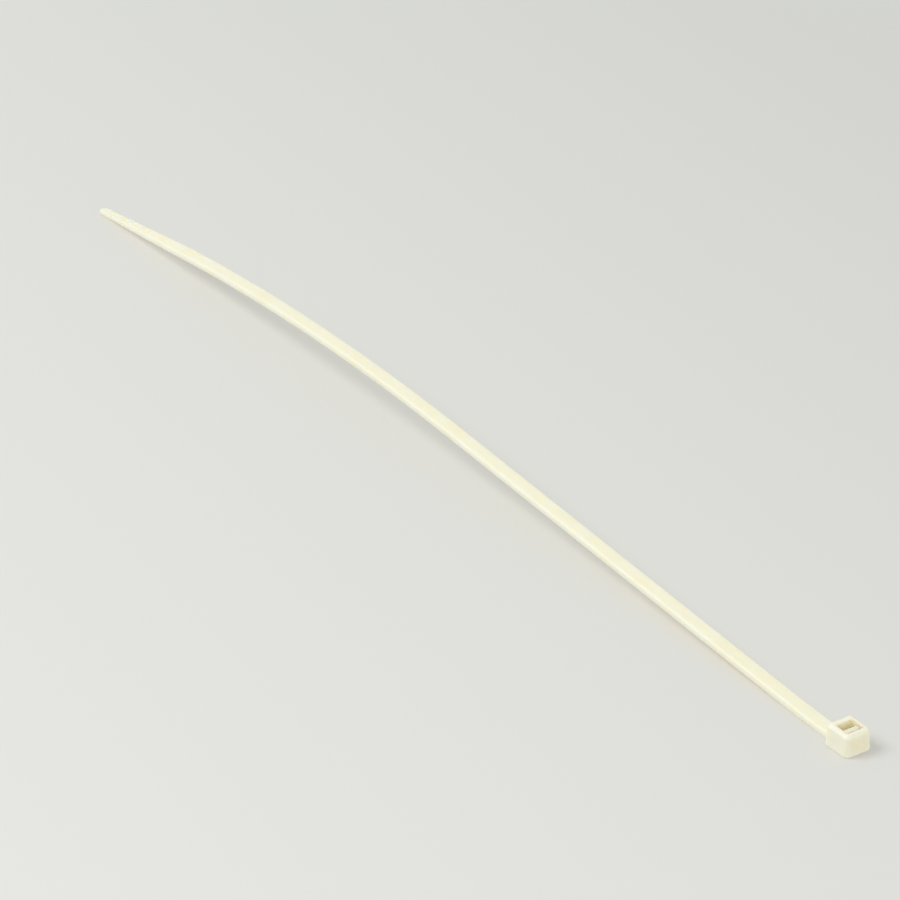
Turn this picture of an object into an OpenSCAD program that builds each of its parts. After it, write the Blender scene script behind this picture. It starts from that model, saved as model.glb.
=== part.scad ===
// One-piece self-locking cable tie in natural nylon, in millimetres.
// It lies teeth down, as it comes to rest: the head flat on the surface, the strap in a low bow,
// the tip of the tail touching down again. The origin is the middle of the strap passage on the
// entry face of the head, which is the plane that the tie rests on. +X runs along the strap.

/* [Strap] */
// Length from the back of the head to the tip, measured along the strap
total_l = 200; // [170:1:300]
// Width of the strap
strap_w = 2.5; // [2.2:0.1:3.6]
// Thickness of the strap over its rails
strap_t = 1.0; // [0.9:0.05:1.3]
// Radius of the long edges on the smooth side
smooth_r = 0.3; // [0.15:0.05:0.4]
// Radius of the long edges on the toothed side
rail_r = 0.12; // [0.05:0.01:0.2]
// Plain strap between the head and the first tooth
neck_l = 6; // [3:0.5:10]

/* [Bow] */
// Radius of the bend that lifts the strap off the surface beside the head
lift_r = 220; // [180:10:300]
// Straight stretch between that bend and the bow
rise_l = 80; // [50:1:90]
// Radius of the long bow, which runs down to the tail
bow_r = 450; // [350:10:500]

/* [Teeth] */
// Distance from one tooth to the next
tooth_pitch = 0.75; // [0.6:0.05:1.2]
// Height of a tooth
tooth_h = 0.28; // [0.2:0.01:0.35]
// Flat on top of a tooth
crest_l = 0.12; // [0.06:0.01:0.18]
// Flat between two teeth
root_l = 0.08; // [0.04:0.01:0.12]
// Lean of the locking face of a tooth
lock_lean = 8; // [0:1:15]
// How far the teeth stay below the rails beside them
crest_sink = 0.05; // [0.02:0.01:0.1]
// Width of each plain rail beside the teeth
rail_w = 0.45; // [0.3:0.05:0.6]
// Clear length of the channel ahead of the first tooth
channel_lead = 0.3; // [0.1:0.05:0.5]

/* [Tail] */
// Length of the tapered tail
tail_l = 24; // [16:1:35]
// Plain strap between the last tooth and the tail
tail_neck = 2; // [1:0.5:6]
// Width of the tail at its round tip
tip_w = 1.5; // [1.1:0.1:1.8]
// Thickness of the tail at its tip
tip_t = 0.75; // [0.6:0.05:0.85]
// Bevel round the edge of the tip
tip_bevel = 0.16; // [0.08:0.02:0.2]
// Distance from one grip groove to the next
grip_pitch = 1.1; // [0.8:0.1:1.6]
// Depth of the grip grooves
grip_h = 0.14; // [0.08:0.01:0.18]
// Length of tail that the grip grooves cover
grip_l = 14; // [8:1:18]
// Plain tail between the last grip groove and the tip
grip_end = 3; // [2:0.5:5]

/* [Head] */
// Height of the head, from its entry face to its exit face
head_h = 3.5; // [3.2:0.1:4.2]
// Wall at the back of the head, which the smooth side of the strap bears on
end_wall = 0.95; // [0.7:0.05:1.4]
// Wall at the strap end of the head
root_wall = 1.2; // [0.9:0.05:1.6]
// Wall on each side of the passage
side_wall = 0.9; // [0.7:0.05:1.3]
// Radius of the upright corners at the back of the head
back_r = 0.9; // [0.4:0.1:1.2]
// Radius of the upright corners at the strap end of the head
front_r = 0.5; // [0.3:0.1:0.8]
// Bevel round the exit face
top_bevel = 0.42; // [0.2:0.02:0.6]
// Bevel round the entry face
base_bevel = 0.2; // [0.1:0.02:0.3]
// Lean of the side walls, which releases the head from its mould
side_draft = 2.5; // [0:0.5:4]
// Radius of the fillet where the top of the strap meets the head
root_fillet = 0.9; // [0.4:0.1:1.2]
// Radius of the fillets where the edges of the strap meet the head
neck_fillet = 0.8; // [0.4:0.1:1]
// Height of the strap's underside above the entry face, where it leaves the head
strap_sill = 0.06; // [0.04:0.01:0.12]

/* [Passage and pawl] */
// Play of the strap in the passage, over its thickness
passage_play = 0.35; // [0.2:0.05:0.5]
// Play of the strap in the passage, on each side
side_play = 0.2; // [0.1:0.05:0.3]
// Width of the lead-in bevel round the entry
lead_w = 0.28; // [0.1:0.02:0.35]
// Height of the lead-in bevel round the entry
lead_h = 0.45; // [0.2:0.05:0.6]
// Height of the shelf that carries the pawl
shelf_h = 0.65; // [0.5:0.05:0.9]
// Thickness of the pawl
pawl_t = 0.72; // [0.6:0.02:0.8]
// Thickness of the living hinge at the foot of the pawl
hinge_t = 0.36; // [0.25:0.01:0.45]
// Height of the thin part of the hinge
hinge_h = 0.25; // [0.15:0.05:0.4]
// Lean of the pawl over the passage
pawl_lean = 10; // [6:1:12]
// Number of teeth on the pawl
pawl_teeth = 3; // [2:1:3]
// Gap between the pawl and the walls beside it
pawl_gap = 0.2; // [0.1:0.05:0.3]
// Gap behind the pawl, which it springs back into
relief_gap = 0.6; // [0.5:0.05:0.8]
// How far the tip of the pawl stays below the exit face
pawl_sink = 0.35; // [0.2:0.05:0.6]
// Diameter of the mark that the mould's gate leaves on the back of the head
gate_d = 0.9; // [0.6:0.1:1.4]
// Height of the gate mark
gate_h = 0.1; // [0.05:0.01:0.15]

/* [Hidden] */

$fn = 48;
hull_fn = 32;
turn_fn = 256;

// Small overlap that carries a cutter past a face, and a slice thin enough to be a section
past = 0.5;
slice = 0.01;

// How far the teeth reach into the floor and rails of their channel, and how far the start of
// the tail lies inside the end of the strap
tooth_set = 0.08;
tail_set = 0.02;

// Passage, head and pawl sizes that follow from the ones above
passage_l = strap_t + passage_play;
slot_w = strap_w + 2 * side_play;
head_w = slot_w + 2 * side_wall;
pawl_room = pawl_t + relief_gap;
back_x = -passage_l / 2 - end_wall;
relief_x = passage_l / 2 + pawl_room;
root_x = relief_x + root_wall;
head_l = root_x - back_x;
pawl_w = slot_w - 2 * pawl_gap;

// Foot of the pawl on its shelf, and its length up to the tip
pawl_foot = [passage_l / 2 + pawl_t / 2, shelf_h];
pawl_l = (head_h - pawl_sink - shelf_h) / cos(pawl_lean);

// The strap starts inside the wall at the strap end of the head
root_bury = root_wall / 2;
strap_x = root_x - root_bury;

// The tail touches down on the lower rim of its tip
touch_l = tail_l - tip_bevel;

// Height of the strap where its bow starts, if it rises at the angle a
function bow_start_z(a) = strap_sill + lift_r * (1 - cos(a)) + rise_l * sin(a);

// Angle at which the strap comes down if it rises at the angle a, so that the tip touches
function fall_angle(a) =
    acos((bow_r * cos(a) - bow_start_z(a)) / norm([bow_r, touch_l])) - atan2(touch_l, bow_r);

// Length of the whole tie along the strap if it rises at the angle a
function developed_l(a) =
    strap_x - back_x + (lift_r * a + bow_r * (a + fall_angle(a))) * PI / 180 + rise_l + tail_l;

// Bisection for the angle that gives the stated length
solve_steps = 40;
function solve_rise(low, high, n) =
    let (middle = (low + high) / 2)
    n == 0 ? middle
    : developed_l(middle) > total_l ? solve_rise(low, middle, n - 1)
    : solve_rise(middle, high, n - 1);

// The bow alone would take the whole length if the strap rose at the steepest of these angles
steepest = total_l / bow_r * 90 / PI;
rise_angle = solve_rise(0, steepest, solve_steps);
bow_fall = fall_angle(rise_angle);
bow_sweep = rise_angle + bow_fall;

// Lengths along the underside of the strap, from its start inside the head
lift_l = lift_r * rise_angle * PI / 180;
bow_l = bow_r * bow_sweep * PI / 180;
bow_s = lift_l + rise_l;
along = [cos(rise_angle), sin(rise_angle)];
upright = [-sin(rise_angle), cos(rise_angle)];
lift_end = [strap_x, strap_sill + lift_r] - lift_r * upright;
bow_centre = lift_end + rise_l * along - bow_r * upright;
bow_end = bow_centre + bow_r * [sin(bow_fall), cos(bow_fall)];

// Upward angle of the strap at a length s along it, and the point of its underside there
function strap_angle(s) =
    s < lift_l ? s / lift_r * 180 / PI
    : s < bow_s ? rise_angle
    : rise_angle - (s - bow_s) / bow_r * 180 / PI;
function strap_point(s) =
    let (a = strap_angle(s))
    s < lift_l ? [strap_x, strap_sill + lift_r] + lift_r * [sin(a), -cos(a)]
    : s < bow_s ? lift_end + (s - lift_l) * along
    : bow_centre + bow_r * [-sin(a), cos(a)];

// Run of teeth
teeth_start = root_bury + neck_l;
teeth_room = bow_s + bow_l - tail_neck - teeth_start;
teeth_n = floor(teeth_room / tooth_pitch);
teeth_end = teeth_start + teeth_n * tooth_pitch;
root_level = crest_sink + tooth_h;
lock_run = tooth_h * tan(lock_lean);

// How much of the two bends the channel with the teeth takes, as angles
lift_toothed = (lift_l - teeth_start + channel_lead) / lift_r * 180 / PI;
bow_toothed = (teeth_end - bow_s) / bow_r * 180 / PI;
channel_w = strap_w - 2 * rail_w;

// Section of the strap: height above its underside along x, width along y
module strap_section() {
    flat_w = strap_w - 2 * smooth_r;
    foot_w = strap_w - 2 * rail_r;
    translate([rail_r, -strap_w / 2])
        square([strap_t - rail_r - smooth_r, strap_w]);
    translate([0, -foot_w / 2])
        square([strap_t / 2, foot_w]);
    translate([strap_t / 2, -flat_w / 2])
        square([strap_t / 2, flat_w]);
    for (side = [-1, 1]) {
        translate([rail_r, side * foot_w / 2])
            circle(rail_r);
        translate([strap_t - smooth_r, side * flat_w / 2])
            circle(smooth_r);
    }
}

// Places what is drawn in the side view, x along and y up, centred over a width
module across(width) {
    translate([0, width / 2, 0])
        rotate([90, 0, 0])
            linear_extrude(width)
                children();
}

// Turns a section about a cross axis, clockwise in the side view from the angle given
module turned(from, sweep) {
    rotate([90, 0, 0])
        rotate([0, 0, from])
            mirror([0, 1, 0])
                rotate_extrude(angle = sweep, $fn = turn_fn)
                    children();
}

// Section of the channel under the strap, whose floor carries the teeth
module channel_section() {
    translate([-past, -channel_w / 2])
        square([past + root_level, channel_w]);
}

// Bends in the side view that leave the origin along x: one back from it and curving up,
// one on from it and curving down. What is drawn is a section with its height along x.
module bend_back(r, sweep) {
    translate([0, 0, r])
        turned(-90, sweep)
            translate([r, 0])
                mirror([1, 0])
                    children();
}

module bend_on(r, sweep) {
    translate([0, 0, -r])
        turned(90, sweep)
            translate([r, 0])
                children();
}

// Straight run of a section along x
module run_on(length) {
    rotate([0, 90, 0])
        linear_extrude(length)
            mirror([1, 0])
                children();
}

// Strap from inside the head to the tail: lift bend, straight rise and bow, with their channel
module bowed_strap() {
    translate([lift_end[0], 0, lift_end[1]])
        rotate([0, -rise_angle, 0]) {
            difference() {
                bend_back(lift_r, rise_angle)
                    strap_section();
                if (lift_toothed > 0)
                    bend_back(lift_r, lift_toothed)
                        channel_section();
            }
            difference() {
                run_on(rise_l)
                    strap_section();
                run_on(rise_l)
                    channel_section();
            }
            translate([rise_l, 0, 0])
                difference() {
                    bend_on(bow_r, bow_sweep)
                        strap_section();
                    bend_on(bow_r, bow_toothed)
                        channel_section();
                }
        }
}

// One ratchet tooth in the side view: its locking face looks back to the head
module tooth_side() {
    polygon([
        [0, root_level + tooth_set],
        [0, root_level],
        [lock_run, crest_sink],
        [lock_run + crest_l, crest_sink],
        [tooth_pitch - root_l, root_level],
        [tooth_pitch - root_l, root_level + tooth_set]
    ]);
}

// Row of teeth, each set a little into the floor and the rails of the channel
module teeth() {
    for (i = [0:teeth_n - 1]) {
        s = teeth_start + i * tooth_pitch;
        foot = strap_point(s);
        translate([foot[0], 0, foot[1]])
            rotate([0, -strap_angle(s), 0])
                across(channel_w + 2 * tooth_set)
                    tooth_side();
    }
}

// Tapered tail in its own frame, from the end of the bow along x
module tail_blank() {
    tip_x = tail_l - tip_w / 2;
    hull() {
        translate([-past, 0, tail_set])
            run_on(slice)
                scale((strap_w - 2 * tail_set) / strap_w)
                    strap_section($fn = hull_fn);
        translate([tip_x, 0, 0])
            cylinder(h = tip_t, d = tip_w - 2 * tip_bevel, $fn = hull_fn);
        translate([tip_x, 0, tip_bevel])
            cylinder(h = tip_t - 2 * tip_bevel, d = tip_w, $fn = hull_fn);
    }
}

// Grip grooves across the smooth side of the tail
module grip_grooves() {
    slope = (strap_t - tip_t) / tail_l;
    groove_l = grip_pitch / 2;
    count = floor(grip_l / grip_pitch);
    for (i = [0:count - 1]) {
        x = tail_l - grip_end - i * grip_pitch;
        translate([x, 0, strap_t - slope * x - grip_h])
            across(strap_w + past)
                polygon([
                    [-groove_l / 4, 0],
                    [groove_l / 4, 0],
                    [groove_l / 2 + past, grip_h + past],
                    [-groove_l / 2 - past, grip_h + past]
                ]);
    }
}

module tail() {
    translate([bow_end[0], 0, bow_end[1]])
        rotate([0, bow_fall, 0])
            difference() {
                tail_blank();
                grip_grooves();
            }
}

// Plan of the head with its round corners
module head_plan() {
    half = head_w / 2;
    translate([back_x + back_r, -half])
        square([head_l - back_r - front_r, head_w]);
    translate([back_x, -half + back_r])
        square([head_l / 2, head_w - 2 * back_r]);
    translate([back_x + head_l / 2, -half + front_r])
        square([head_l / 2, head_w - 2 * front_r]);
    for (side = [-1, 1]) {
        translate([back_x + back_r, side * (half - back_r)])
            circle(back_r);
        translate([root_x - front_r, side * (half - front_r)])
            circle(front_r);
    }
}

// Side view of the head, bevelled round the exit face and at the back of the entry face
module head_side() {
    polygon([
        [back_x + base_bevel, 0],
        [root_x, 0],
        [root_x, head_h - top_bevel],
        [root_x - top_bevel, head_h],
        [back_x + top_bevel, head_h],
        [back_x, head_h - top_bevel],
        [back_x, base_bevel]
    ]);
}

// End view of the head, width along x and height along y
module head_end() {
    foot = head_w / 2 - base_bevel;
    neck_y = head_h - top_bevel;
    neck_x = head_w / 2 - neck_y * tan(side_draft);
    polygon([
        [-foot, 0],
        [foot, 0],
        [head_w / 2, base_bevel],
        [neck_x, neck_y],
        [neck_x - top_bevel, head_h],
        [top_bevel - neck_x, head_h],
        [-neck_x, neck_y],
        [-head_w / 2, base_bevel]
    ]);
}

module head_block() {
    intersection() {
        linear_extrude(head_h)
            head_plan();
        across(head_w)
            head_side();
        translate([back_x, 0, 0])
            rotate([90, 0, 90])
                linear_extrude(head_l)
                    head_end();
    }
}

// Passage and relief gap in the side view, with the lead-in at the entry
module passage_side() {
    wall = passage_l / 2;
    polygon([
        [-wall - lead_w - past * lead_w / lead_h, -past],
        [-wall, lead_h],
        [-wall, head_h + past],
        [relief_x, head_h + past],
        [relief_x, shelf_h],
        [wall, shelf_h],
        [wall, lead_h],
        [wall + lead_w + past * lead_w / lead_h, -past]
    ]);
}

// Lead-in on the two sides of the passage, in the end view
module lead_end() {
    low_w = slot_w / 2 + lead_w + past * lead_w / lead_h;
    polygon([
        [-low_w, -past],
        [low_w, -past],
        [slot_w / 2, lead_h],
        [-slot_w / 2, lead_h]
    ]);
}

module passage() {
    across(slot_w)
        passage_side();
    intersection() {
        translate([-head_l / 2, 0, 0])
            rotate([90, 0, 90])
                linear_extrude(head_l)
                    lead_end();
        across(head_w)
            passage_side();
    }
}

// Pawl in its own side view: the hinge is at the origin and the tip points up
module pawl_side() {
    face = -pawl_t / 2;
    function notch(z) = [
        [face - tooth_h, z],
        [face, z - tooth_pitch + root_l],
        [face, z - tooth_pitch]
    ];
    polygon(concat(
        [
            [-hinge_t / 2, -shelf_h / 2],
            [hinge_t / 2, -shelf_h / 2],
            [hinge_t / 2, hinge_h],
            [pawl_t / 2, hinge_h + (pawl_t - hinge_t) / 2],
            [pawl_t / 2, pawl_l - pawl_t / 2],
            [0, pawl_l]
        ],
        [for (i = [0:pawl_teeth - 1]) each notch(pawl_l - i * tooth_pitch)],
        [[-hinge_t / 2, hinge_h]]
    ));
}

module pawl() {
    translate([pawl_foot[0], 0, pawl_foot[1]])
        rotate([0, -pawl_lean, 0])
            across(pawl_w)
                pawl_side();
}

// Concave fillet in a right-angled corner at the origin, filling the quadrant +x +y
module fillet_section(r) {
    difference() {
        translate([-past / 2, -past / 2])
            square(r + past / 2);
        translate([r, r])
            circle(r);
    }
}

// Fillets that blend the strap into the head, above it and beside it
module root_blend() {
    translate([root_x, 0, strap_sill + strap_t])
        across(strap_w - 2 * smooth_r)
            fillet_section(root_fillet);
    for (side = [0, 1])
        mirror([0, side, 0])
            translate([root_x, strap_w / 2, strap_sill + rail_r])
                linear_extrude(strap_t - rail_r - smooth_r)
                    fillet_section(neck_fillet);
}

module gate_mark() {
    translate([back_x - gate_h, 0, head_h / 2])
        rotate([0, 90, 0])
            cylinder(h = gate_h + past, d = gate_d);
}

module cable_tie() {
    color("ivory") {
        difference() {
            union() {
                head_block();
                bowed_strap();
                root_blend();
                gate_mark();
                tail();
            }
            passage();
        }
        teeth();
        pawl();
    }
}

cable_tie();
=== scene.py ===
"""Natural nylon cable tie: one finely meshed moulding on a pale floor, in soft daylight.

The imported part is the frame. Its one node is replaced by a mesh of the same form with fine
rounds, made here from the same driving sizes: the strap with its teeth, rails and grooved tail,
the head round its open passage, the pawl and the gate mark, all united into one closed skin.
"""
import math

import bmesh
import bpy
import numpy as np
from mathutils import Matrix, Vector


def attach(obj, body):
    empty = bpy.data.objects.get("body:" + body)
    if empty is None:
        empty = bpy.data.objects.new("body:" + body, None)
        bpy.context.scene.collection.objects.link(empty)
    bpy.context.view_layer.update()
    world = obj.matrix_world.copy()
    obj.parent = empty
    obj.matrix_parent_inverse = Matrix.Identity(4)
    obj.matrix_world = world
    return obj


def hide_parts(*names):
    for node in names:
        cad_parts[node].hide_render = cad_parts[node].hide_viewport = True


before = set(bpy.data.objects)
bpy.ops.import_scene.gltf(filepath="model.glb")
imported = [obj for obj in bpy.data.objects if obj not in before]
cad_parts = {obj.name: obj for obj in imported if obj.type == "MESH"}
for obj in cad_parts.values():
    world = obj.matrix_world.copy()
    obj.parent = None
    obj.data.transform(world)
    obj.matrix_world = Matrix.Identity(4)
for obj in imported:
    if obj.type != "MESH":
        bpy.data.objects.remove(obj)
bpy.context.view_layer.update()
NODE = "cable_tie"

# Lengths down to the camera are in millimetres, and MM turns them into the frame's metres
MM = 0.001

# Strap
TOTAL_L = 200
STRAP_W = 2.5
STRAP_T = 1.0
SMOOTH_R = 0.3
RAIL_R = 0.12
NECK_L = 6
RAIL_W = 0.45
STRAP_SILL = 0.06

# Fine form of the strap's skin: the mould's seam, the rails' inner lips, and the top, which sinks
# toward its middle and lies a hair under its stated height
SEAM_H = 0.014
SEAM_W = 0.05
RAIL_LIP = 0.03
STRAP_DISH = 0.016
DISH_MID_WAY = 0.6
DISH_MID_DEPTH = 0.7
SKIN_SET = 0.012
SMOOTH_STEPS = 6
RAIL_STEPS = 3

# Bow: lift bend at the head, straight rise, and the long bow down to the tail
LIFT_R = 220
RISE_L = 80
BOW_R = 450

# Teeth
TOOTH_PITCH = 0.75
TOOTH_H = 0.28
CREST_L = 0.12
ROOT_L = 0.08
LOCK_RUN = TOOTH_H * math.tan(math.radians(8))
LOCK_SHARE = 0.85
CREST_SINK = 0.05
ROOT_LEVEL = CREST_SINK + TOOTH_H
TOOTH_ROUND = 0.022
CHANNEL_LEAD = 0.3
CHANNEL_DRAFT = 0.04

# Tail
TAIL_L = 24
TAIL_NECK = 2
TIP_W = 1.5
TIP_T = 0.75
TIP_BEVEL = 0.16
TIP_LEAD = 0.6
TIP_STEPS = 12
GRIP_PITCH = 1.1
GRIP_FLOOR = GRIP_PITCH / 4
GRIP_H = 0.14
GRIP_L = 14
GRIP_END = 3
GRIP_ROUND = 0.03
GRIP_SAG = 0.7 * GRIP_ROUND

# Head
HEAD_H = 3.5
END_WALL = 0.95
ROOT_WALL = 1.2
SIDE_WALL = 0.9
BACK_R = 0.9
FRONT_R = 0.5
FRONT_R_LOSS = 0.8
TOP_BEVEL = 0.42
BASE_BEVEL = 0.2
SIDE_DRAFT = math.radians(2.5)
EDGE_ROUND = 0.12
WALL_DISH = 0.03
DISH_LOW = 0.3 * HEAD_H
DISH_HIGH = 0.65 * HEAD_H
ENTRY_RIM = 0.3
EXIT_RIM = 0.16

# Fillets where the strap's neck runs into the head
ROOT_FILLET = 0.9
NECK_FILLET = 0.8
NECK_SOFTENING = 0.6
NECK_STEPS = 10
BURIED_SHARE = 0.6

# Passage
PASSAGE_L = STRAP_T + 0.35
SLOT_W = STRAP_W + 2 * 0.2
LEAD_W = 0.28
LEAD_H = 0.45
SHELF_H = 0.65
CORNER_R = 0.12
LIP_ROUND = 0.07
SHELF_ROUND = 0.08
LEAD_ROUND = 0.05

# Where the stretches of the passage's skin start and end: heights above the shelf, lengths short of
# its edge, and the height above and the length outside the flared entry
LIP_END = 0.3
SHELF_START = 0.2
SHELF_END = 0.1
EDGE_START = 0.08
LEAD_START = 0.01
LEAD_END = 0.12

# Pawl and the room behind it
PAWL_T = 0.72
HINGE_T = 0.36
HINGE_H = 0.25
PAWL_LEAN = math.radians(10)
PAWL_TEETH = 3
PAWL_GAP = 0.2
RELIEF_GAP = 0.6
PAWL_SINK = 0.35
PAWL_ROUND = 0.045

# Gate mark: a low round stub, whose rim is a little lower than its face
GATE_D = 0.9
GATE_H = 0.1
GATE_RIM_H = 0.8 * GATE_H
GATE_FACE_H = 0.98 * GATE_H
GATE_FACE_R = GATE_D / 5
GATE_ROOT = 0.3
GATE_ROUND = 0.05
GATE_SIDES = 32

# Mesh: gaps between plain rings, the gap under which points are one, and the shortest edge kept
RING_GAP = 0.5
TIP_RING_GAP = 0.4
WELD_GAP = 0.0008
SHORTEST_EDGE = 0.0004

# Places that follow from the sizes
BACK_X = -PASSAGE_L / 2 - END_WALL
RELIEF_X = PASSAGE_L / 2 + PAWL_T + RELIEF_GAP
ROOT_X = RELIEF_X + ROOT_WALL
ROOT_BURY = ROOT_WALL / 2
STRAP_X = ROOT_X - ROOT_BURY
HEAD_W = SLOT_W + 2 * SIDE_WALL
TIP_X = TAIL_L - TIP_W / 2
TOUCH_L = TAIL_L - TIP_BEVEL
SEAM_Z = STRAP_SILL + (RAIL_R + STRAP_T - SMOOTH_R) / 2


def bow_start_z(rise):
    return STRAP_SILL + LIFT_R * (1 - math.cos(rise)) + RISE_L * math.sin(rise)


def fall_angle(rise):
    """Angle at which the strap comes down, so that the tip of the tail touches the floor."""
    reach = math.hypot(BOW_R, TOUCH_L)
    return math.acos((BOW_R * math.cos(rise) - bow_start_z(rise)) / reach) - math.atan2(TOUCH_L, BOW_R)


def developed_length(rise):
    arcs = LIFT_R * rise + BOW_R * (rise + fall_angle(rise))
    return STRAP_X - BACK_X + arcs + RISE_L + TAIL_L


def solve_rise(low=math.radians(1), high=math.radians(30), steps=40):
    """Angle of the straight rise that gives the tie its stated length."""
    for _ in range(steps):
        middle = (low + high) / 2
        if developed_length(middle) > TOTAL_L:
            high = middle
        else:
            low = middle
    return middle


# Lengths along the strap at which its stretches begin and end
RISE = solve_rise()
LIFT_S = LIFT_R * RISE
BOW_S = LIFT_S + RISE_L
TAIL_S = BOW_S + BOW_R * (RISE + fall_angle(RISE))
TEETH_S = ROOT_BURY + NECK_L
CHANNEL_S = TEETH_S - CHANNEL_LEAD
TEETH_N = int((TAIL_S - TAIL_NECK - TEETH_S) / TOOTH_PITCH)
TEETH_END_S = TEETH_S + TEETH_N * TOOTH_PITCH


def strap_place(s):
    """Point (x, z) of the strap's underside at a length s along it, and its upward angle there."""
    lift_centre = np.array([STRAP_X, STRAP_SILL + LIFT_R])
    along = np.array([math.cos(RISE), math.sin(RISE)])
    upright = np.array([-math.sin(RISE), math.cos(RISE)])
    lift_end = lift_centre - LIFT_R * upright
    bow_centre = lift_end + RISE_L * along - BOW_R * upright
    if s < LIFT_S:
        angle = s / LIFT_R
        return lift_centre + LIFT_R * np.array([math.sin(angle), -math.cos(angle)]), angle
    if s < BOW_S:
        return lift_end + (s - LIFT_S) * along, RISE
    angle = RISE - (min(s, TAIL_S) - BOW_S) / BOW_R
    foot = bow_centre + BOW_R * np.array([-math.sin(angle), math.cos(angle)])
    beyond = max(s - TAIL_S, 0)
    return foot + beyond * np.array([math.cos(angle), math.sin(angle)]), angle


def quarter(centre_u, centre_v, radius, start, steps):
    """Points of a quarter turn about a centre, anticlockwise from the angle start in degrees."""
    points = []
    for i in range(steps + 1):
        angle = math.radians(start + 90 * i / steps)
        points.append((centre_u + radius * math.cos(angle), centre_v + radius * math.sin(angle)))
    return points


def concave(distance, radius):
    """Height of a concave fillet at a distance from the wall that it runs up."""
    if distance >= radius:
        return 0
    short = radius - max(distance, 0)
    return radius - math.sqrt(max(radius * radius - short * short, 0))


def strap_section(half_w, top, floor, smooth_r, rail_r, lid):
    """Right half of a section of the strap, from the middle of its underside to the middle of its top.

    The side carries the fine seam of the mould, and the top sinks a little toward its middle. The
    skin stays a hair under the stated top, so that the long bow keeps inside the part's own box.
    Nothing rises above the lid.
    """
    top -= SKIN_SET
    channel = STRAP_W / 2 - RAIL_W
    lip = min(RAIL_LIP, floor / 3)
    flat = half_w - smooth_r
    seam = (rail_r + top - smooth_r) / 2
    points = [(0, floor), (channel, floor), (channel, lip), (channel + RAIL_LIP, 0)]
    points += quarter(half_w - rail_r, rail_r, rail_r, -90, RAIL_STEPS)
    points += [(half_w, seam - SEAM_W / 2), (half_w + SEAM_H, seam), (half_w, seam + SEAM_W / 2)]
    points += quarter(flat, top - smooth_r, smooth_r, 0, SMOOTH_STEPS)
    points += [(flat * DISH_MID_WAY, top - STRAP_DISH * DISH_MID_DEPTH), (0, top - STRAP_DISH)]
    return [(y, min(z, lid)) for y, z in points]


def neck_section(clear):
    """Half section of the plain neck at a clear length from the head, which it widens toward."""
    flare = concave(clear, NECK_FILLET)
    top = STRAP_T + concave(clear, ROOT_FILLET)
    smooth_r = SMOOTH_R + NECK_SOFTENING * flare
    return strap_section(STRAP_W / 2 + flare, top, 0, smooth_r, RAIL_R, HEAD_H)


def toothed_section(floor):
    """Half section of the strap, whose channel is cut to a height above its underside."""
    return strap_section(STRAP_W / 2, STRAP_T, floor, SMOOTH_R, RAIL_R, HEAD_H)


def tail_section(u, depth):
    """Half section of the tail at a length u along it, under a groove of the given depth."""
    share = min(max(u / TIP_X, 0), 1)
    half_w = (STRAP_W * (1 - share) + TIP_W * share) / 2
    top = STRAP_T * (1 - share) + TIP_T * share
    smooth_r = SMOOTH_R * (1 - share) + TIP_BEVEL * share
    rail_r = RAIL_R * (1 - share) + TIP_BEVEL * share
    squeeze = half_w * 2 / STRAP_W
    section = strap_section(STRAP_W / 2, top, 0, smooth_r / squeeze, rail_r / squeeze, top - depth)
    return [(y * squeeze, z) for y, z in section]


def ring_in_place(section, s, turn=0.0):
    """Ring of points of a half section and its mirror image, at a length s along the strap.

    A turn above 0 swings the ring about the middle of the tail's round tip.
    """
    foot, angle = strap_place(s)
    cosine, sine = math.cos(angle), math.sin(angle)
    ring = []
    for y, z in section + [(-y, z) for y, z in reversed(section[1:-1])]:
        ahead = abs(y) * math.sin(turn)
        x = foot[0] + ahead * cosine - z * sine
        ring.append((x, y * math.cos(turn), foot[1] + ahead * sine + z * cosine))
    return ring


def neck_rings():
    """Rings from inside the head to the channel, close together where the fillets curve."""
    curved = [
        ROOT_BURY + ROOT_FILLET * (1 - math.cos(math.radians(90 * i / NECK_STEPS)))
        for i in range(NECK_STEPS + 1)
    ]
    plain = list(np.arange(ROOT_BURY + ROOT_FILLET + RING_GAP, CHANNEL_S, RING_GAP))
    stations = [0, BURIED_SHARE * ROOT_BURY] + curved + plain
    return [ring_in_place(neck_section(s - ROOT_BURY), s) for s in stations]


def tooth_stations():
    """Stations along the strap over the run of teeth, with the height of the channel's floor."""
    crest_end = LOCK_RUN + CREST_L
    shape = [
        (0, ROOT_LEVEL),
        (LOCK_RUN * LOCK_SHARE, CREST_SINK + TOOTH_ROUND),
        (LOCK_RUN + TOOTH_ROUND, CREST_SINK),
        (crest_end - TOOTH_ROUND, CREST_SINK),
        (crest_end + TOOTH_ROUND * 2, CREST_SINK + TOOTH_ROUND),
        (TOOTH_PITCH - ROOT_L, ROOT_LEVEL),
    ]
    stations = []
    for i in range(TEETH_N):
        stations += [(TEETH_S + i * TOOTH_PITCH + u, floor) for u, floor in shape]
    return stations


def toothed_rings():
    """Rings of the channel: its start, its teeth and its end."""
    stations = [(CHANNEL_S, 0), (CHANNEL_S + CHANNEL_DRAFT, ROOT_LEVEL)]
    stations += tooth_stations()
    stations += [(TEETH_END_S - CHANNEL_DRAFT, ROOT_LEVEL), (TEETH_END_S, 0)]
    return [ring_in_place(toothed_section(floor), s) for s, floor in stations]


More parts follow.
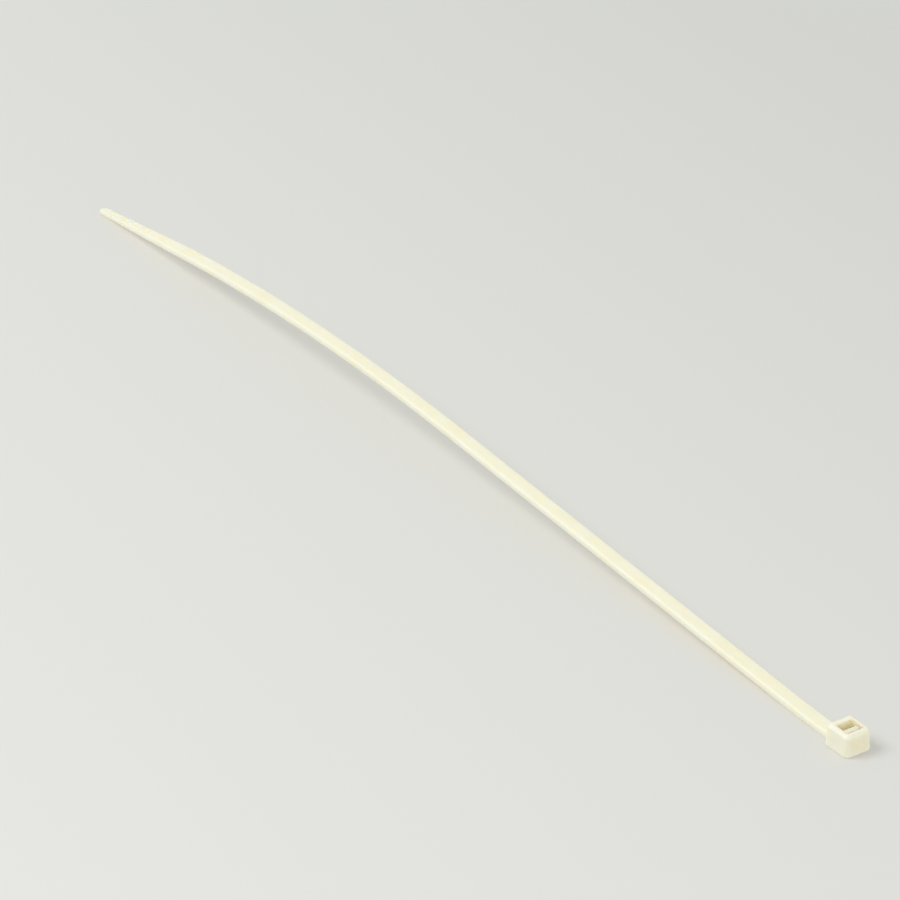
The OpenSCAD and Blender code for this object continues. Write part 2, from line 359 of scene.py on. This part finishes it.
def grip_stations():
    """Stations along the tail over the grip grooves, with the depth of the groove there."""
    half_floor = GRIP_FLOOR / 2
    half_mouth = half_floor + GRIP_H
    half_shape = [
        (half_floor - GRIP_ROUND, GRIP_H), (half_floor + GRIP_ROUND, GRIP_H - GRIP_SAG),
        (half_mouth - GRIP_ROUND, GRIP_SAG), (half_mouth + GRIP_ROUND, 0),
    ]
    shape = [(-u, depth) for u, depth in reversed(half_shape)] + half_shape
    stations = []
    for i in reversed(range(int(GRIP_L / GRIP_PITCH))):
        middle = TAIL_L - GRIP_END - i * GRIP_PITCH
        stations += [(middle + u, depth) for u, depth in shape]
    return stations


def tail_rings():
    """Rings of the tapering tail with its grip grooves, swung round at the tip."""
    first = TEETH_END_S + RING_GAP - TAIL_S
    grips_end = TAIL_L - GRIP_END
    stations = [(u, 0) for u in np.arange(first, grips_end - GRIP_L, RING_GAP)]
    stations += grip_stations()
    stations += [(u, 0) for u in np.arange(grips_end + TIP_LEAD, TIP_X, TIP_RING_GAP)]
    rings = [ring_in_place(tail_section(u, depth), TAIL_S + u) for u, depth in stations]
    tip = tail_section(TIP_X, 0)
    for i in range(TIP_STEPS + 1):
        rings.append(ring_in_place(tip, TAIL_S + TIP_X, math.radians(90 * i / TIP_STEPS)))
    return rings


def round_box(x0, x1, half_w, back_r, front_r, z, steps=8):
    """Ring at the height z of a rectangle with one radius at its back corners and one at its front."""
    corners = [
        (x1 - front_r, half_w - front_r, front_r, 0),
        (x0 + back_r, half_w - back_r, back_r, 90),
        (x0 + back_r, back_r - half_w, back_r, 180),
        (x1 - front_r, front_r - half_w, front_r, 270),
    ]
    ring = []
    for x, y, radius, start in corners:
        ring += [(px, py, z) for px, py in quarter(x, y, radius, start, steps)]
    return ring


def softened(corners, reach, steps=4, most=0.48):
    """Polyline with each inner corner turned into a small round that reaches along both edges.

    A round takes no more than the share most of an edge, so that neighbours never overlap.
    """
    points = [corners[0]]
    for before, corner, after in zip(corners, corners[1:], corners[2:]):
        before, corner, after = np.array(before), np.array(corner), np.array(after)
        start = corner + (before - corner) * min(reach / np.linalg.norm(before - corner), most)
        end = corner + (after - corner) * min(reach / np.linalg.norm(after - corner), most)
        for i in range(steps + 1):
            t = i / steps
            points.append(tuple((1 - t) ** 2 * start + 2 * t * (1 - t) * corner + t * t * end))
    return points + [corners[-1]]


def head_outside_rings():
    """Rings from the entry face up the outside of the head and over onto its exit face."""
    # Each corner is a share of the base bevel, which the strap's end lacks, an inset and a height
    outline = softened([
        (BASE_BEVEL, ENTRY_RIM, 0), (BASE_BEVEL, 0, 0), (0, 0, BASE_BEVEL),
        (0, 0, SEAM_Z - SEAM_W / 2), (0, -SEAM_H, SEAM_Z), (0, 0, SEAM_Z + SEAM_W / 2),
        (0, WALL_DISH, DISH_LOW), (0, WALL_DISH, DISH_HIGH),
        (0, 0, HEAD_H - TOP_BEVEL), (0, TOP_BEVEL, HEAD_H), (0, TOP_BEVEL + EXIT_RIM, HEAD_H),
    ], EDGE_ROUND)
    rings = []
    for base, inset, z in outline:
        half_w = HEAD_W / 2 - z * math.tan(SIDE_DRAFT) - inset - base
        back_r = max(BACK_R - inset - base, CORNER_R)
        front_r = max(FRONT_R - inset * FRONT_R_LOSS, CORNER_R)
        rings.append(round_box(BACK_X + inset + base, ROOT_X - inset, half_w, back_r, front_r, z))
    return rings


def passage_rings():
    """Rings down the passage: its lip and wall, the shelf and its edge, and the flared entry."""
    wall = PASSAGE_L / 2
    half_w = SLOT_W / 2
    rings = []
    lip = softened([(LIP_ROUND * 2, HEAD_H), (0, HEAD_H), (0, SHELF_H + LIP_END)], LIP_ROUND)
    for out, z in lip:
        rings.append(round_box(-wall - out, RELIEF_X + out, half_w + out, CORNER_R, CORNER_R, z))
    shelf = softened([
        (RELIEF_X, SHELF_H + SHELF_START), (RELIEF_X, SHELF_H), (wall + SHELF_END, SHELF_H),
    ], SHELF_ROUND)
    shelf += softened([(wall + EDGE_START, SHELF_H), (wall, SHELF_H), (wall, LEAD_H)], LEAD_ROUND)
    for x, z in shelf:
        rings.append(round_box(-wall, x, half_w, CORNER_R, CORNER_R, z))
    entry = softened([
        (0, LEAD_H + LEAD_START), (0, LEAD_H), (LEAD_W, 0), (LEAD_W + LEAD_END, 0),
    ], LEAD_ROUND)
    for out, z in entry[1:]:
        corner = CORNER_R + out
        rings.append(round_box(-wall - out, wall + out, half_w + out, corner, corner, z))
    return rings


def gate_rings():
    """Rings of the gate mark on the back of the head, where the mould filled."""
    profile = softened([
        (GATE_D / 2, GATE_ROOT), (GATE_D / 2, -GATE_RIM_H), (GATE_FACE_R, -GATE_FACE_H),
    ], GATE_ROUND)
    turns = [2 * math.pi * i / GATE_SIDES for i in range(GATE_SIDES)]
    rings = []
    for radius, x in profile:
        circle = [(radius * math.cos(turn), HEAD_H / 2 + radius * math.sin(turn)) for turn in turns]
        rings.append([(BACK_X + x, y, z) for y, z in circle])
    return rings


def join_rings(mesh, row, after):
    """Band of faces between two rings of the mesh's points."""
    for i in range(len(row)):
        j = (i + 1) % len(row)
        mesh.faces.new((row[i], row[j], after[j], after[i]))


def skin(name, rings, looped=False, capped=False):
    """Object whose skin runs over the rings, from last to first as well where it is looped.

    Otherwise its first ring is closed, and its last one too where it is capped. The strap's last
    ring needs no cap, because the tail's tip swings it flat.
    """
    mesh = bmesh.new()
    rows = [[mesh.verts.new(Vector(point) * MM) for point in ring] for ring in rings]
    following = rows[1:] + rows[:1] if looped else rows[1:]
    for row, after in zip(rows, following):
        join_rings(mesh, row, after)
    if not looped:
        mesh.faces.new(list(reversed(rows[0])))
    if capped:
        mesh.faces.new(rows[-1])
    bmesh.ops.remove_doubles(mesh, verts=mesh.verts, dist=WELD_GAP * MM)
    bmesh.ops.dissolve_degenerate(mesh, edges=mesh.edges, dist=SHORTEST_EDGE * MM)
    bmesh.ops.recalc_face_normals(mesh, faces=mesh.faces)
    return to_object(name, mesh)


def to_object(name, mesh):
    data = bpy.data.meshes.new(name)
    mesh.to_mesh(data)
    mesh.free()
    made = bpy.data.objects.new(name, data)
    bpy.context.scene.collection.objects.link(made)
    return made


def pawl_outline():
    """Side view of the pawl in its own frame: the hinge at the origin, the teeth toward -x."""
    face = -PAWL_T / 2
    length = (HEAD_H - PAWL_SINK - SHELF_H) / math.cos(PAWL_LEAN)
    points = [
        (-HINGE_T / 2, -SHELF_H / 2), (HINGE_T / 2, -SHELF_H / 2), (HINGE_T / 2, HINGE_H),
        (PAWL_T / 2, HINGE_H + (PAWL_T - HINGE_T) / 2), (PAWL_T / 2, length - PAWL_T / 2),
        (0, length),
    ]
    for i in range(PAWL_TEETH):
        z = length - i * TOOTH_PITCH
        points += [(face - TOOTH_H, z), (face, z - TOOTH_PITCH + ROOT_L), (face, z - TOOTH_PITCH)]
    return points + [(-HINGE_T / 2, HINGE_H)]


def make_pawl():
    """Pawl leaning over the passage, with soft edges."""
    half_w = SLOT_W / 2 - PAWL_GAP
    centre_x = PASSAGE_L / 2 + PAWL_T / 2
    cosine, sine = math.cos(PAWL_LEAN), math.sin(PAWL_LEAN)
    mesh = bmesh.new()
    sides = []
    for y in (-half_w, half_w):
        side = []
        for u, v in pawl_outline():
            x = centre_x + u * cosine - v * sine
            side.append(mesh.verts.new(Vector((x, y, SHELF_H + u * sine + v * cosine)) * MM))
        sides.append(side)
    right, left = sides
    join_rings(mesh, right, left)
    mesh.faces.new(right)
    mesh.faces.new(list(reversed(left)))
    bmesh.ops.recalc_face_normals(mesh, faces=mesh.faces)
    bmesh.ops.bevel(
        mesh, geom=list(mesh.edges), offset=PAWL_ROUND * MM, segments=2, profile=0.5,
        affect="EDGES", clamp_overlap=True,
    )
    return to_object("pawl", mesh)


def apply_modifiers(obj):
    """Turns what the modifiers show into the object's own mesh."""
    depsgraph = bpy.context.evaluated_depsgraph_get()
    data = bpy.data.meshes.new_from_object(obj.evaluated_get(depsgraph))
    obj.modifiers.clear()
    obj.data = data


def unite(base, others):
    """Unites the others with the base into one closed skin."""
    for other in others:
        step = base.modifiers.new("unite", "BOOLEAN")
        step.operation = "UNION"
        step.solver = "MANIFOLD"
        step.object = other
        apply_modifiers(base)
        bpy.data.objects.remove(other)


def shade(obj, sharp_degrees=40):
    """Smooth shading that keeps flat faces flat and true corners sharp."""
    mesh = bmesh.new()
    mesh.from_mesh(obj.data)
    limit = math.radians(sharp_degrees)
    for face in mesh.faces:
        face.smooth = True
    for edge in mesh.edges:
        edge.smooth = edge.is_manifold and edge.calc_face_angle(0) < limit
    mesh.to_mesh(obj.data)
    mesh.free()
    weighted = obj.modifiers.new("weighted", "WEIGHTED_NORMAL")
    weighted.keep_sharp = True
    apply_modifiers(obj)


def make_tie():
    """The whole tie as one moulding, which stands for the part's node."""
    tie = skin("cable_tie_moulding", neck_rings() + toothed_rings() + tail_rings())
    head = skin("head", head_outside_rings() + passage_rings(), looped=True)
    unite(head, [make_pawl(), skin("gate_mark", gate_rings(), capped=True)])
    unite(tie, [head])
    shade(tie)
    tie.data.materials.clear()
    tie.data.materials.append(nylon_material())
    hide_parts(NODE)
    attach(tie, "root")


def srgb(red, green, blue):
    """Colour given as screen values from 0 to 255, in the linear values that shaders take."""
    def linear(value):
        share = value / 255
        return share / 12.92 if share <= 0.04045 else ((share + 0.055) / 1.055) ** 2.4
    return (linear(red), linear(green), linear(blue), 1)


# Camera at the photograph's angle, in the frame's turn and height angles. From here on, lengths
# are in metres
CAMERA_TURN = math.radians(235)
CAMERA_HEIGHT = math.radians(30)
CAMERA_DISTANCE = 0.76
CAMERA_LENS = 200
CAMERA_CLIP = 0.01
AIM = Vector((0.097, 0, 0.002))

up = Vector((0, 0, 1))
right_way = Vector((math.cos(CAMERA_TURN), math.sin(CAMERA_TURN), 0))
far_way = Vector((-math.sin(CAMERA_TURN), math.cos(CAMERA_TURN), 0))
look_back = up * math.sin(CAMERA_HEIGHT) - far_way * math.cos(CAMERA_HEIGHT)

# Lamps: name, place, width and power. The key stands high on the camera's left. The bounce, under
# the tail, stands for what a pale floor throws back at the teeth, and the low fill lights the back
# of the head
LAMPS = [
    ("key", AIM - right_way * 1.2 + up * 1.5 - far_way * 0.1, 1.1, 13),
    ("bounce", AIM + Vector((0.6, -0.5, -1.0)), 0.7, 3),
    ("fill", AIM + Vector((-1.2, 0.0, 0.2)), 0.7, 1.2),
]

# Daylight's strength, its colour, and the tone that shows where there is nothing else to see
DAYLIGHT = 0.7
WHITE = (1, 1, 1, 1)
SURROUND = srgb(221, 222, 219)

# Floor: its two tones, which paint the fall of the light across it, a painted lit tone near the camera's
# left and a painted shade far off on its right; the way from the near one to the far one, and the stretch
# of that way on which one passes into the other
FLOOR_NEAR_PAINTED_LIGHT = srgb(234, 235, 230)
FLOOR_FAR_PAINTED_SHADE = srgb(216, 217, 212)
FLOOR_PAINTED_FALLOFF_WAY = far_way * 0.7 + right_way * 0.9
FLOOR_PAINTED_FALLOFF_SPAN = (-0.16, 0.17)

# The floor's roughness, the distances from the tie between which it fades into the surround, half
# its width, and how far it lies under the tie
FLOOR_ROUGHNESS = 0.85
FLOOR_FADE = (0.17, 0.5)
FLOOR_HALF = 4.0
FLOOR_DROP = 0.00002

# Nylon: the two tones of its clouds, the paler streaks along it, its refraction, and how deep each
# colour of light travels in it
NYLON_DEEP = srgb(252, 239, 210)
NYLON_PALE = srgb(254, 243, 220)
NYLON_STREAK = srgb(254, 247, 232)
NYLON_IOR = 1.53
NYLON_DEPTH = 0.001
NYLON_DEPTH_SHARES = (1.0, 0.9, 0.7)


class Nodes:
    """Short hand for building the nodes of a material or a world."""

    # Places of the colour sockets of a Mix node
    MIX_INPUTS = (6, 7)
    MIX_RESULT = 2

    def __init__(self, owner):
        owner.use_nodes = True
        self.tree = owner.node_tree
        self.tree.nodes.clear()

    def add(self, kind, **settings):
        """New node of a kind, with its settings."""
        node = self.tree.nodes.new("ShaderNode" + kind)
        for key, value in settings.items():
            setattr(node, key, value)
        return node

    def feed(self, socket, value):
        """Links a socket to another node's output, or sets its value."""
        if isinstance(value, bpy.types.NodeSocket):
            self.tree.links.new(value, socket)
        else:
            socket.default_value = value

    def put(self, node, **inputs):
        """Feeds a node's inputs by name, with an underscore for each space."""
        for key, value in inputs.items():
            self.feed(node.inputs[key.replace("_", " ")], value)
        return node

    def combined(self, kind, *values, result=0, **settings):
        """Output of a new node of a kind, whose inputs are fed in their order."""
        node = self.add(kind, **settings)
        for socket, value in zip(node.inputs, values):
            self.feed(socket, value)
        return node.outputs[result]

    def noise(self, vector, scale, detail, roughness):
        node = self.add("TexNoise")
        self.put(node, Vector=vector, Scale=scale, Detail=detail, Roughness=roughness)
        return node.outputs["Fac"]

    def ramp(self, factor, span, values):
        """Number that runs over the values as the factor runs over the span."""
        node = self.put(self.add("MapRange"), Value=factor)
        self.put(node, From_Min=span[0], From_Max=span[1], To_Min=values[0], To_Max=values[1])
        return node.outputs["Result"]

    def blend(self, factor, first, second):
        """Colour between the first and the second."""
        node = self.put(self.add("Mix", data_type="RGBA"), Factor=factor)
        for place, colour in zip(self.MIX_INPUTS, (first, second)):
            self.feed(node.inputs[place], colour)
        return node.outputs[self.MIX_RESULT]

    def stretched(self, coordinates, share):
        """Coordinates that run at a share of their pace along the strap, which draws a texture out."""
        node = self.put(self.add("Mapping"), Vector=coordinates, Scale=(share, 1, 1))
        return node.outputs["Vector"]

    def bump(self, height, strength, distance, **under):
        """Normals of a bump, which can lie over those of another."""
        node = self.put(self.add("Bump"), Height=height, Strength=strength, Distance=distance, **under)
        return node.outputs["Normal"]

    def shown_rays(self):
        """1 for the rays of the camera, of reflections and of clear materials, and 0 for all others."""
        paths = self.add("LightPath").outputs
        shown = paths["Is Camera Ray"]
        for name in ("Is Glossy Ray", "Is Transmission Ray"):
            shown = self.combined("Math", shown, paths[name], operation="MAXIMUM")
        return shown

    def finish(self, kind, shader):
        """Output node of a kind, which shows the shader."""
        self.put(self.add(kind), Surface=shader)


def nylon_material():
    """Natural nylon: cream, softly glossy and cloudy enough for light to travel through it."""
    material = bpy.data.materials.new("natural_nylon")
    nodes = Nodes(material)
    place = nodes.add("TexCoord").outputs["Object"]

    # Cloudy colour, a little deeper where the melt ran thick, with faint streaks along the strap
    clouds = nodes.noise(place, scale=260, detail=4, roughness=0.6)
    streaks = nodes.noise(nodes.stretched(place, share=0.12), scale=1900, detail=3, roughness=0.55)
    body = nodes.blend(nodes.ramp(clouds, (0.35, 0.65), (0, 1)), NYLON_DEEP, NYLON_PALE)
    colour = nodes.blend(nodes.ramp(streaks, (0.3, 0.7), (0, 0.5)), body, NYLON_STREAK)

    # Handling marks in the gloss
    smudges = nodes.noise(place, scale=700, detail=5, roughness=0.65)
    roughness = nodes.ramp(smudges, (0.3, 0.7), (0.32, 0.5))

    # Mould texture: the slow waves of shrinkage, long flow lines and fine grain
    waves = nodes.noise(nodes.stretched(place, share=0.3), scale=420, detail=2, roughness=0.5)
    grain = nodes.noise(place, scale=9000, detail=2, roughness=0.5)
    slow = nodes.bump(waves, strength=0.6, distance=0.00012)
    flow = nodes.bump(streaks, strength=0.35, distance=0.00003, Normal=slow)
    fine = nodes.bump(grain, strength=0.25, distance=0.000012, Normal=flow)

    shader = nodes.add("BsdfPrincipled")
    nodes.put(shader, Base_Color=colour, Roughness=roughness, Normal=fine, IOR=NYLON_IOR)
    nodes.put(shader, Subsurface_Weight=1.0, Subsurface_Scale=NYLON_DEPTH)
    nodes.put(shader, Subsurface_Radius=NYLON_DEPTH_SHARES)
    nodes.finish("OutputMaterial", shader.outputs["BSDF"])
    return material


def floor_material():
    """Pale matt surface, seen from above only, that lets the daylight reach the tie from below.

    It fades into the surround away from the tie, so that low views show no edge of it.
    """
    material = bpy.data.materials.new("pale_floor")
    nodes = Nodes(material)
    place = nodes.add("TexCoord").outputs["Object"]
    across = nodes.combined("VectorMath", place, FLOOR_PAINTED_FALLOFF_WAY, operation="DOT_PRODUCT", result="Value")
    # Painted light and shade: the floor's colour is lighter toward the near left and darker toward the far
    # right, standing in for the light's fall over it
    colour = nodes.blend(nodes.ramp(across, FLOOR_PAINTED_FALLOFF_SPAN, (0, 1)), FLOOR_NEAR_PAINTED_LIGHT, FLOOR_FAR_PAINTED_SHADE)
    shader = nodes.put(nodes.add("BsdfPrincipled"), Base_Color=colour, Roughness=FLOOR_ROUGHNESS)

    above = nodes.combined("Math", 1, nodes.add("NewGeometry").outputs["Backfacing"], operation="SUBTRACT")
    seen = nodes.combined("Math", nodes.shown_rays(), above, operation="MULTIPLY")
    distance = nodes.combined("VectorMath", place, AIM, operation="DISTANCE", result="Value")
    near = nodes.ramp(distance, FLOOR_FADE, (1, 0))
    solid = nodes.combined("Math", seen, near, operation="MULTIPLY")
    clear = nodes.add("BsdfTransparent").outputs["BSDF"]
    nodes.finish("OutputMaterial", nodes.combined("MixShader", solid, clear, shader.outputs["BSDF"]))
    return material


def make_floor():
    """Wide floor just under the tie."""
    mesh = bmesh.new()
    corners = [(-1, -1), (1, -1), (1, 1), (-1, 1)]
    mesh.faces.new([mesh.verts.new((x * FLOOR_HALF, y * FLOOR_HALF, -FLOOR_DROP)) for x, y in corners])
    floor = to_object("floor", mesh)
    floor.data.materials.append(floor_material())


def make_world():
    """Even pale daylight, with a plain pale tone for the rays that look past everything."""
    world = bpy.data.worlds.new("daylight")
    bpy.context.scene.world = world
    nodes = Nodes(world)
    light = nodes.combined("Background", WHITE, DAYLIGHT)
    surround = nodes.combined("Background", SURROUND, 1)
    nodes.finish("OutputWorld", nodes.combined("MixShader", nodes.shown_rays(), light, surround))


def make_camera():
    data = bpy.data.cameras.new("camera")
    data.lens = CAMERA_LENS
    data.clip_start = CAMERA_CLIP
    camera = bpy.data.objects.new("camera", data)
    camera.location = AIM + look_back * CAMERA_DISTANCE
    camera.rotation_mode = "QUATERNION"
    camera.rotation_quaternion = (-look_back).to_track_quat("-Z", "Y")
    bpy.context.scene.collection.objects.link(camera)
    bpy.context.scene.camera = camera


def make_lamp(name, place, width, power):
    """Square soft lamp that points at the tie."""
    data = bpy.data.lights.new(name, "AREA")
    data.size = width
    data.energy = power
    lamp = bpy.data.objects.new(name, data)
    lamp.location = place
    lamp.rotation_mode = "QUATERNION"
    lamp.rotation_quaternion = (AIM - place).to_track_quat("-Z", "Y")
    bpy.context.scene.collection.objects.link(lamp)


make_camera()
make_world()
for lamp in LAMPS:
    make_lamp(*lamp)
make_floor()
make_tie()
bpy.context.scene.view_settings.view_transform = "Standard"
